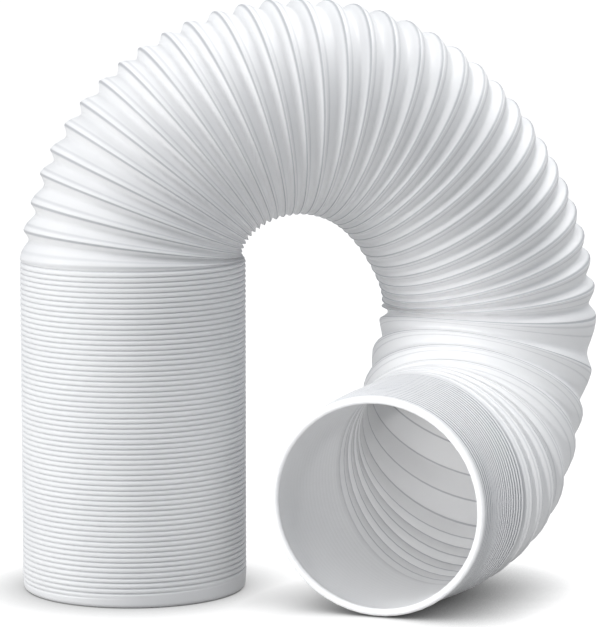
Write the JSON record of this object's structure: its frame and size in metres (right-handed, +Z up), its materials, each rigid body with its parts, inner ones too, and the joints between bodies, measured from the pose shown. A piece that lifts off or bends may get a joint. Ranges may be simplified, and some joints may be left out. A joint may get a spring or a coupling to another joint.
{
  "type": "air conditioner exhaust hose",
  "caption": "White spiral-ribbed flexible duct hose, one end standing as a compressed stack, arched over and down to an open mouth lying on the floor.",
  "frame": {"origin": "on the floor, under the middle of the bounding box", "axes": "+Z up, out of the standing stack; +X from the stack towards the arch's far leg; -Y towards the side that the open end looks to"},
  "size_m": [0.3872, 0.2578, 0.3916],
  "materials": {
    "white_polypropylene": "smooth extruded polypropylene strip, soft satin sheen, slightly translucent"
  },
  "bodies": {
    "root": {"hose": "white_polypropylene"}
  },
  "joints": []
}
